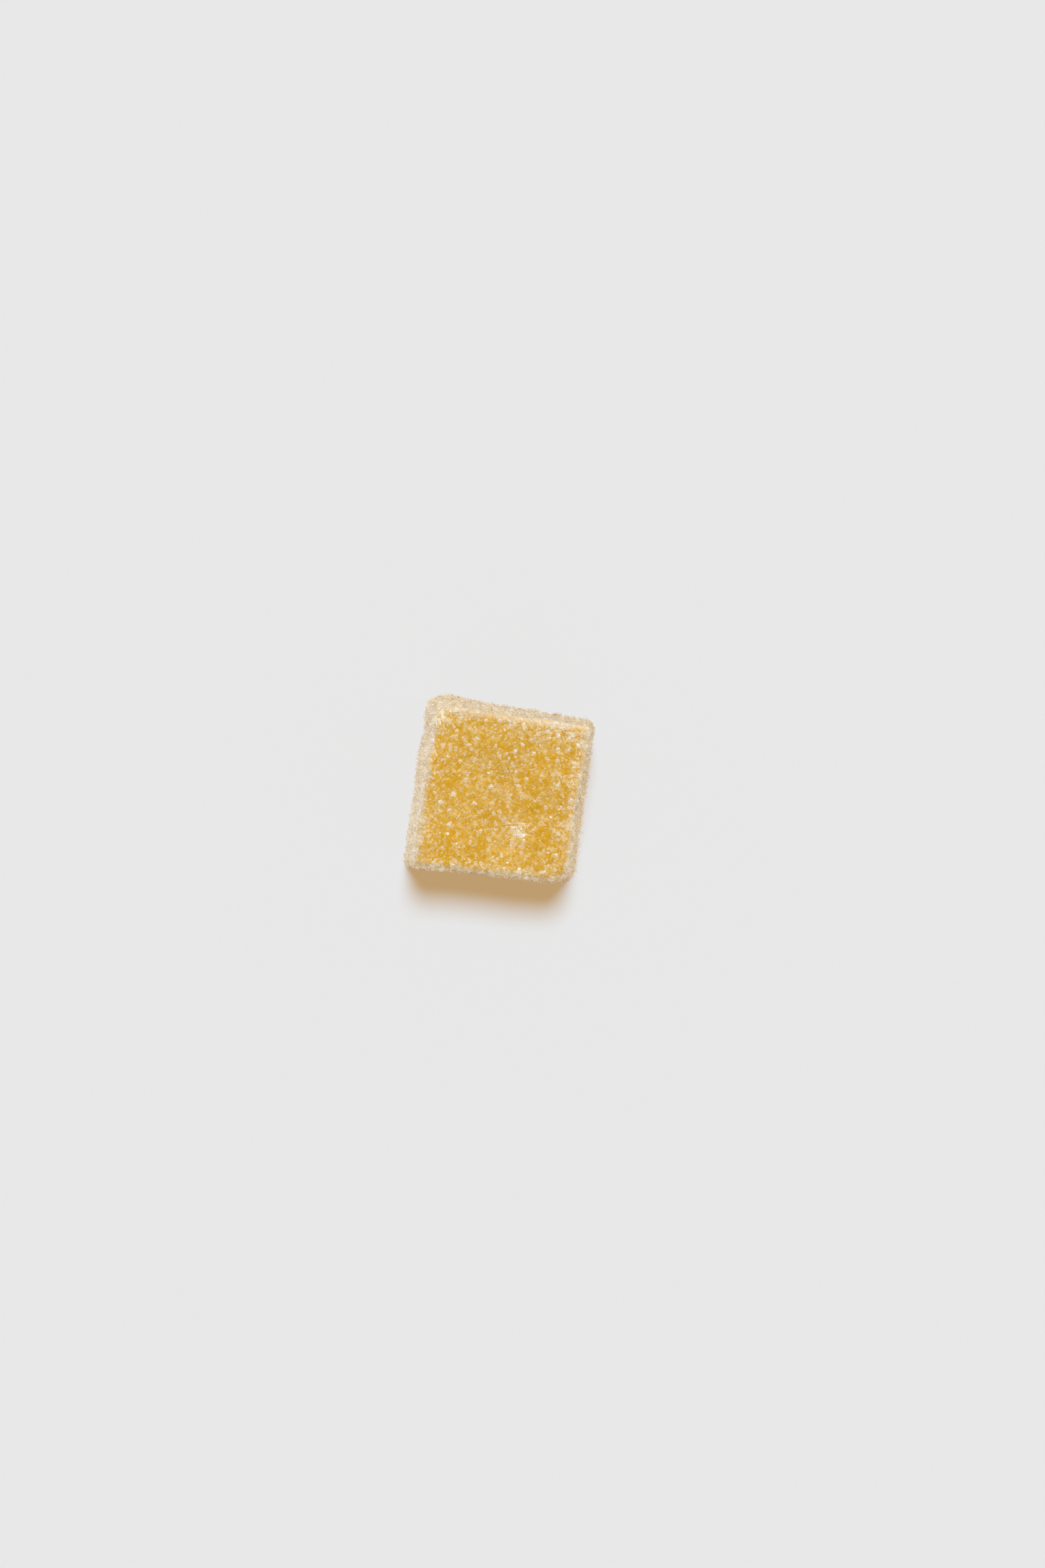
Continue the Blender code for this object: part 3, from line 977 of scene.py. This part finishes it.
def dress(piece):
    """Makes a finished piece ride on the candy's body and stand for its node."""
    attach(piece, "root")
    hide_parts("gummy")


def grain_places(jelly, sugar, draw):
    """Points at random over the block, no two nearer than the gap, each with its surface normal."""
    areas = {
        "face": jelly.face_width * jelly.face_depth,
        "left": jelly.base_depth * jelly.height,
        "right": jelly.base_depth * jelly.height,
        "front": jelly.base_width * jelly.height,
        "back": jelly.base_width * jelly.height,
    }
    reach = 0.97
    found = []
    while len(found) < sugar.coarse_count:
        side = draw.choices(list(areas), areas.values())[0]
        u = draw.uniform(-reach, reach)
        v = draw.uniform(-reach, reach)
        point, normal = surface(jelly, side, u, v)
        near = any((point - other).length < sugar.coarse_gap for other, _ in found)
        if point.z > sugar.coarse_clear and not near:
            found.append((point, normal))
    return found


class GUMMY_OT_jelly(bpy.types.Operator):
    """Makes the block of amber jelly"""

    bl_idname = "gummy.jelly"
    bl_label = "Jelly block"

    def execute(self, context):
        jelly = context.scene.gummy_jelly
        mesh = jelly_mesh(jelly)
        mesh.materials.append(jelly_material(jelly))
        piece = bpy.data.objects.new("jelly", mesh)
        context.scene.collection.objects.link(piece)
        piece.visible_diffuse = False
        dress(piece)
        return {"FINISHED"}


class GUMMY_OT_coarse_sugar(bpy.types.Operator):
    """Puts the coarsest sugar grains on the jelly"""

    bl_idname = "gummy.coarse_sugar"
    bl_label = "Coarse sugar"

    def execute(self, context):
        jelly, sugar = context.scene.gummy_jelly, context.scene.gummy_sugar
        draw = random.Random(sugar.seed)
        points, sizes, turns, normals = [], [], [], []
        for point, normal in grain_places(jelly, sugar, draw):
            length = draw.uniform(sugar.coarse_short, sugar.coarse_long)
            sizes.append(length)
            turns.extend(draw.uniform(-math.pi, math.pi) for _ in range(3))
            points.append(point - normal * (length * sugar.coarse_sunk))
            normals.extend(normal)
        mesh = bpy.data.meshes.new("coarse_sugar_points")
        mesh.from_pydata(points, [], [])
        store(mesh, "size", "FLOAT", sizes)
        store(mesh, "turn", "FLOAT_VECTOR", turns)
        store(mesh, "outward", "FLOAT_VECTOR", normals)
        kinds = crystal_kinds("coarse_crystal", sugar.seed + SEED_STEPS["coarse_sugar"], COARSE_CUTS)
        glaze = sugar_material("coarse_sugar_glaze", BRIGHT)
        values = {"Crystals": kinds, "Material": glaze, "Soaking": COARSE_SOAKING}
        piece = grown("coarse_sugar", mesh, placed_grains_tree(), values)
        drop_kinds(kinds)
        dress(piece)
        return {"FINISHED"}


def sow(sugar, name):
    """Sows one kind of grain on the jelly as a piece of its own."""
    grain = GRAINS[name]
    seed = sugar.seed + SEED_STEPS[name]
    crystals = crystal_kinds(f"{name}_crystal", seed, grain.cuts, grain.domed)
    values = {
        "Coat": grain.coat,
        "Density": getattr(sugar, f"{name}_density"),
        "Spacing": getattr(sugar, f"{name}_gap"),
        "Shortest": getattr(sugar, f"{name}_short"),
        "Longest": getattr(sugar, f"{name}_long"),
        "Sunk": grain.sunk,
        "Tumble": grain.tumble,
        "Soaking": grain.soaking,
        "Seed": seed,
        "Crystals": crystals,
        "Material": sugar_material(f"{name}_glaze", grain.look),
    }
    piece = grown(name, bpy.data.objects["jelly"].data.copy(), sown_grains_tree(), values)
    drop_kinds(crystals)
    dress(piece)


class GUMMY_OT_face_sugar(bpy.types.Operator):
    """Sows the clear grains that lie on the face"""

    bl_idname = "gummy.face_sugar"
    bl_label = "Face sugar"

    def execute(self, context):
        sow(context.scene.gummy_sugar, "face_sugar")
        return {"FINISHED"}


class GUMMY_OT_wall_sugar(bpy.types.Operator):
    """Sows the close, cloudy grains that cover the walls and the underside"""

    bl_idname = "gummy.wall_sugar"
    bl_label = "Wall sugar"

    def execute(self, context):
        sow(context.scene.gummy_sugar, "wall_sugar")
        return {"FINISHED"}


class GUMMY_OT_fine_sugar(bpy.types.Operator):
    """Sows the finest grains, which fill in between the others"""

    bl_idname = "gummy.fine_sugar"
    bl_label = "Fine sugar"

    def execute(self, context):
        sow(context.scene.gummy_sugar, "face_dust")
        sow(context.scene.gummy_sugar, "wall_dust")
        return {"FINISHED"}


def lay_table(stage):
    """The pale table that the candy lies on."""
    bpy.ops.mesh.primitive_plane_add(size=TABLE_WIDTH, location=(0.0, 0.0, -TABLE_DROP))
    table = bpy.context.object
    table.name = "table"
    table.data.materials.append(table_material(stage.table))


def light_sky(scene, stage):
    """Light from the sides, which fades upwards to the even light from above."""
    scene.world = bpy.data.worlds.new("soft_light")
    scene.world.use_nodes = True
    tree = NodeTree(scene.world.node_tree)
    sky = tree.tree.nodes["Background"]
    way = tree.node("ShaderNodeTexCoord").outputs["Generated"]
    height = tree.node("ShaderNodeSeparateXYZ", {0: way}).outputs["Z"]
    strength = tree.ramp(height, (0.0, SIDE_LIGHT_TOP), least=stage.horizon, most=stage.sky)
    tree.feed(sky.inputs["Color"], WHITE)
    tree.feed(sky.inputs["Strength"], strength)


def hang_lamp(scene, stage, roll):
    """The lamp, which the table's shadow comes from."""
    lamp = bpy.data.lights.new("window", "SUN")
    lamp.energy = stage.lamp
    lamp.angle = stage.lamp_spread
    window = bpy.data.objects.new("window", lamp)
    scene.collection.objects.link(window)
    window.location = roll @ Vector(LAMP_PLACE)
    window.rotation_euler = (-window.location).to_track_quat("-Z", "Y").to_euler()


def place_camera(scene, stage, roll):
    """The camera, which looks almost straight down on the candy's face."""
    middle = Vector((0.0, 0.0, NODE_TOP / 2))
    away = Vector((-math.tan(stage.lean_left), math.tan(stage.lean_back), 1.0)).normalized()
    right = (roll @ Vector((0.0, 1.0, 0.0))).cross(away).normalized()
    up = away.cross(right)
    axes = Matrix((right, up, away)).transposed()
    lens = bpy.data.cameras.new("camera")
    lens.lens = stage.lens
    lens.clip_start = NEAREST_SEEN
    camera = bpy.data.objects.new("camera", lens)
    scene.collection.objects.link(camera)
    distance = stage.lens * stage.frame_height / lens.sensor_width
    place = middle + right * stage.right_of_candy + up * stage.above_candy + away * distance
    camera.matrix_world = Matrix.Translation(place) @ axes.to_4x4()
    scene.camera = camera


class GUMMY_OT_stage(bpy.types.Operator):
    """Sets out the table, the soft light and the camera"""

    bl_idname = "gummy.stage"
    bl_label = "Stage"

    def execute(self, context):
        scene = context.scene
        stage = scene.gummy_stage
        roll = Matrix.Rotation(stage.roll, 3, "Z")
        lay_table(stage)
        light_sky(scene, stage)
        hang_lamp(scene, stage, roll)
        place_camera(scene, stage, roll)
        scene.view_settings.view_transform = "Standard"
        return {"FINISHED"}


SUGAR_STEPS = (GUMMY_OT_coarse_sugar, GUMMY_OT_face_sugar, GUMMY_OT_wall_sugar, GUMMY_OT_fine_sugar)


class GUMMY_PT_panel(bpy.types.Panel):
    """Lists the steps that make the candy, with their sizes and colours"""

    bl_idname = "GUMMY_PT_panel"
    bl_label = "Gummy candy"
    bl_space_type = "VIEW_3D"
    bl_region_type = "UI"
    bl_category = "Gummy"

    def draw(self, context):
        scene = context.scene
        groups = (
            (scene.gummy_jelly, (GUMMY_OT_jelly,)),
            (scene.gummy_sugar, SUGAR_STEPS),
            (scene.gummy_stage, (GUMMY_OT_stage,)),
        )
        for sizes, steps in groups:
            box = self.layout.box()
            for step in steps:
                box.operator(step.bl_idname)
            for name in sizes.__annotations__:
                box.prop(sizes, name)


GROUPS = {"gummy_jelly": JellySizes, "gummy_sugar": SugarSizes, "gummy_stage": StageSizes}
CLASSES = (*GROUPS.values(), GUMMY_OT_stage, GUMMY_OT_jelly, *SUGAR_STEPS, GUMMY_PT_panel)


def register():
    for kind in CLASSES:
        bpy.utils.register_class(kind)
    for name, kind in GROUPS.items():
        setattr(bpy.types.Scene, name, PointerProperty(type=kind))


def unregister():
    for name in GROUPS:
        delattr(bpy.types.Scene, name)
    for kind in reversed(CLASSES):
        bpy.utils.unregister_class(kind)


def main():
    register()
    bpy.ops.gummy.stage()
    bpy.ops.gummy.jelly()
    bpy.ops.gummy.coarse_sugar()
    bpy.ops.gummy.face_sugar()
    bpy.ops.gummy.wall_sugar()
    bpy.ops.gummy.fine_sugar()


if __name__ == "__main__":
    main()
